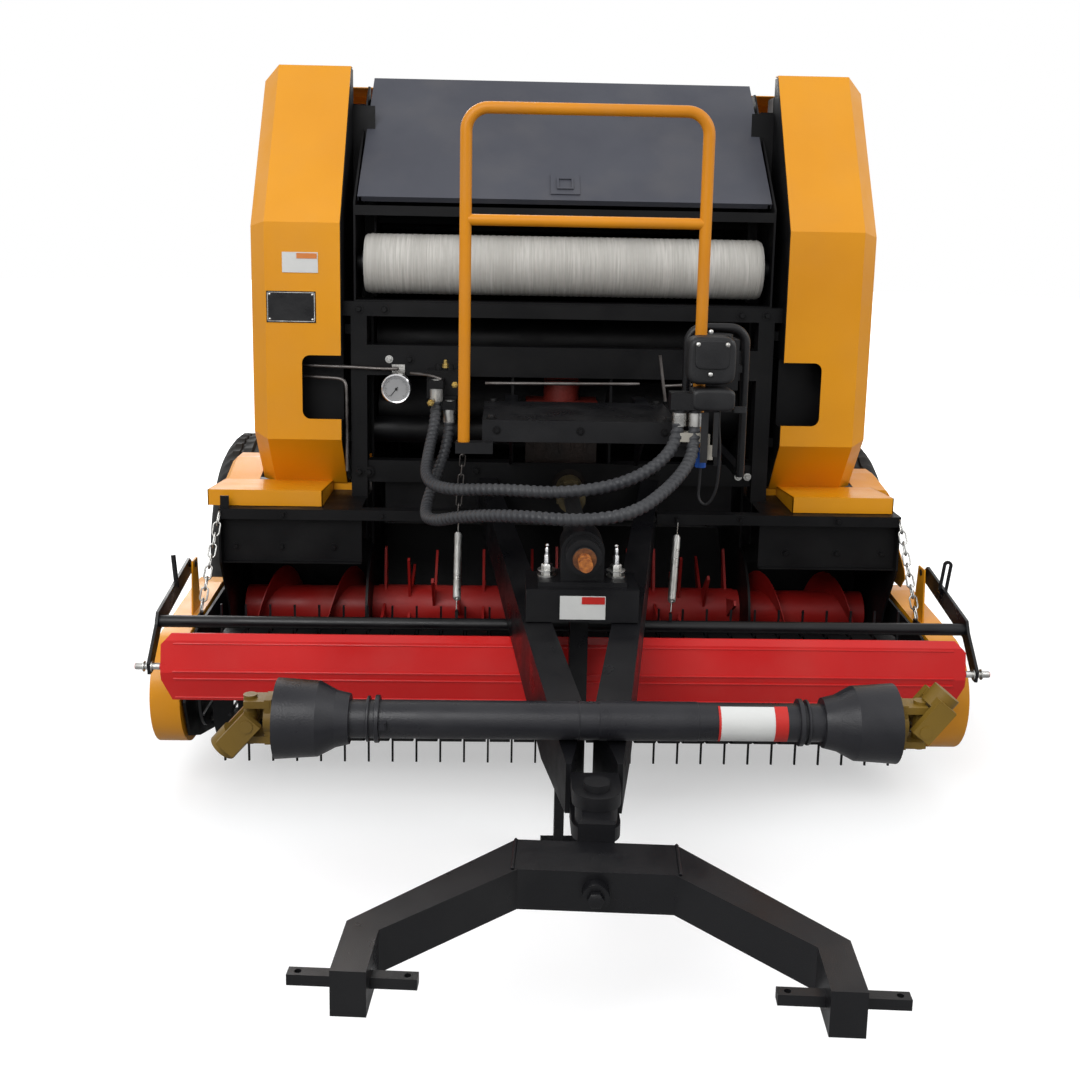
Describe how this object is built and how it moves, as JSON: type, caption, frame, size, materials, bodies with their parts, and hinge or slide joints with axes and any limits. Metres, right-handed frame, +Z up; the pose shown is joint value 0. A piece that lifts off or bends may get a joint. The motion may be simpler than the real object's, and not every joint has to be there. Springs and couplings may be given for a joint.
{
  "type": "round baler",
  "caption": "Towed round baler with a roller bale chamber, opening tailgate, tined pickup, drawbar with a lower link hitch and yellow covers.",
  "frame": {"origin": "on the floor under the middle of the whole machine, between its wheels' outer faces and its two ends", "axes": "+X to the machine's right seen from in front facing its drawbar, +Y towards the tailgate, +Z up"},
  "size_m": [2.53, 3.86, 2.17],
  "materials": {
    "black_paint": "gloss",
    "steel": "satin",
    "yellow_paint": "gloss",
    "red_paint": "gloss",
    "slate_paint": "satin",
    "grey_paint": "satin",
    "net_white": "matte",
    "tyre": "matte",
    "hose_rubber": "satin",
    "guard_plastic": "matte",
    "bronze": "satin",
    "plug_plastic": "gloss",
    "gauge_glass": "satin",
    "lamp_plastic": "gloss"
  },
  "bodies": {
    "chassis": {"auger_housing": "black_paint", "axle": "black_paint", "bearing_box": "black_paint", "bent_tube": "black_paint", "cable_plug": "plug_plastic", "cardan_guard": "guard_plastic", "cardan_yokes": "bronze", "chamber_rollers": "steel", "chamber_sheets": "steel", "chamber_walls": "black_paint", "control_box": "black_paint", "cover_brackets": "black_paint", "drawbar": "black_paint", "gearbox": "grey_paint", "gearbox_mount": "black_paint", "guard_rail": "red_paint", "hydraulic_block": "steel", "left_front_shield": "yellow_paint", "left_lower_cover": "yellow_paint", "lower_hose": "hose_rubber", "main_frame": "black_paint", "net_box": "black_paint", "pickup_chains": "steel", "pickup_springs": "steel", "platform": "black_paint", "plug_cable": "hose_rubber", "pressure_gauge": "gauge_glass", "right_front_shield": "yellow_paint", "right_lower_cover": "yellow_paint", "top_cover": "steel", "upper_hose": "hose_rubber"},
    "wheel_left": {"tyre_left": "tyre", "rim_left": "yellow_paint"},
    "wheel_right": {"tyre_right": "tyre", "rim_right": "yellow_paint"},
    "tailgate": {"tailgate_walls": "black_paint", "tailgate_rollers": "steel", "tailgate_skin": "yellow_paint", "left_tail_shield": "yellow_paint", "right_tail_shield": "yellow_paint", "tail_lamps": "lamp_plastic"},
    "lift_barrels": {"lift_barrels": "red_paint"},
    "lift_rods": {"lift_rods": "steel"},
    "hood": {"hood": "slate_paint"},
    "left_door": {"left_side_door": "yellow_paint"},
    "right_door": {"right_side_door": "yellow_paint"},
    "net_roll": {"net_roll": "net_white"},
    "pickup": {"pickup_frame": "black_paint", "pickup_bands": "black_paint", "pickup_covers": "yellow_paint", "guard_arms": "black_paint", "wind_guard": "red_paint"},
    "pickup_reel": {"pickup_reel": "steel"},
    "feed_rotor": {"feed_rotor": "red_paint"},
    "input_shaft": {"input_shaft": "steel"},
    "swivel": {"swivel_block": "black_paint"},
    "yoke": {"hitch_yoke": "black_paint", "link_bars": "steel"},
    "stand": {"stand": "black_paint"}
  },
  "joints": [
    {"name": "left_wheel", "type": "hinge", "parent": "chassis", "child": "wheel_left", "pos_m": [-1.125, 1.1, 0.425], "axis": [1, 0, 0], "continuous": true},
    {"name": "right_wheel", "type": "hinge", "parent": "chassis", "child": "wheel_right", "pos_m": [1.125, 1.1, 0.425], "axis": [1, 0, 0], "continuous": true},
    {"name": "tailgate_lift", "type": "hinge", "parent": "chassis", "child": "tailgate", "pos_m": [0, 1.066, 2.14], "axis": [1, 0, 0], "range_deg": [0, 55]},
    {"name": "barrel_swing", "type": "hinge", "parent": "chassis", "child": "lift_barrels", "pos_m": [0, 0.6, 0.64], "axis": [1, 0, 0], "range_deg": [0, 11]},
    {"name": "rod_slide", "type": "slide", "parent": "lift_barrels", "child": "lift_rods", "axis": [0, 0.7071, 0.7071], "range_m": [0, 0.62]},
    {"name": "hood_hinge", "type": "hinge", "parent": "chassis", "child": "hood", "pos_m": [0, 0.656, 2.149], "axis": [-1, 0, 0], "range_deg": [0, 60]},
    {"name": "left_door_hinge", "type": "hinge", "parent": "chassis", "child": "left_door", "pos_m": [-0.83, 0.5, 2.152], "axis": [0, 1, 0], "range_deg": [0, 70]},
    {"name": "right_door_hinge", "type": "hinge", "parent": "chassis", "child": "right_door", "pos_m": [0.83, 0.5, 2.152], "axis": [0, -1, 0], "range_deg": [0, 70]},
    {"name": "net_roll_turn", "type": "hinge", "parent": "chassis", "child": "net_roll", "pos_m": [0, 0.24, 1.55], "axis": [1, 0, 0], "continuous": true},
    {"name": "pickup_lower", "type": "hinge", "parent": "chassis", "child": "pickup", "pos_m": [0, 0.25, 0.42], "axis": [1, 0, 0], "range_deg": [0, 6], "deforming": ["pickup_springs", "pickup_chains"]},
    {"name": "reel_turn", "type": "hinge", "parent": "pickup", "child": "pickup_reel", "pos_m": [0, -0.2, 0.316], "axis": [1, 0, 0], "continuous": true},
    {"name": "rotor_turn", "type": "hinge", "parent": "chassis", "child": "feed_rotor", "pos_m": [0, 0.25, 0.42], "axis": [1, 0, 0], "continuous": true},
    {"name": "input_turn", "type": "hinge", "parent": "chassis", "child": "input_shaft", "pos_m": [0.028, 0, 0.858], "axis": [0, -1, 0], "continuous": true},
    {"name": "yoke_swivel", "type": "hinge", "parent": "chassis", "child": "swivel", "pos_m": [0.028, -1.326, 0.413], "axis": [0, 0, 1], "range_deg": [-46.4, 53.6]},
    {"name": "yoke_roll", "type": "hinge", "parent": "swivel", "child": "yoke", "pos_m": [0.02021, -1.44976, 0.413], "axis": [0.0628, 0.998, 0], "range_deg": [-15, 15]},
    {"name": "stand_fold", "type": "hinge", "parent": "chassis", "child": "stand", "pos_m": [0.024, -0.62, 0.38], "axis": [-1, 0, 0], "range_deg": [0, 80]}
  ],
  "couplings": [
    {"joint": "barrel_swing", "follows": "tailgate_lift", "ratio": 0.1811},
    {"joint": "rod_slide", "follows": "tailgate_lift", "m_per_rad": 0.6334}
  ]
}
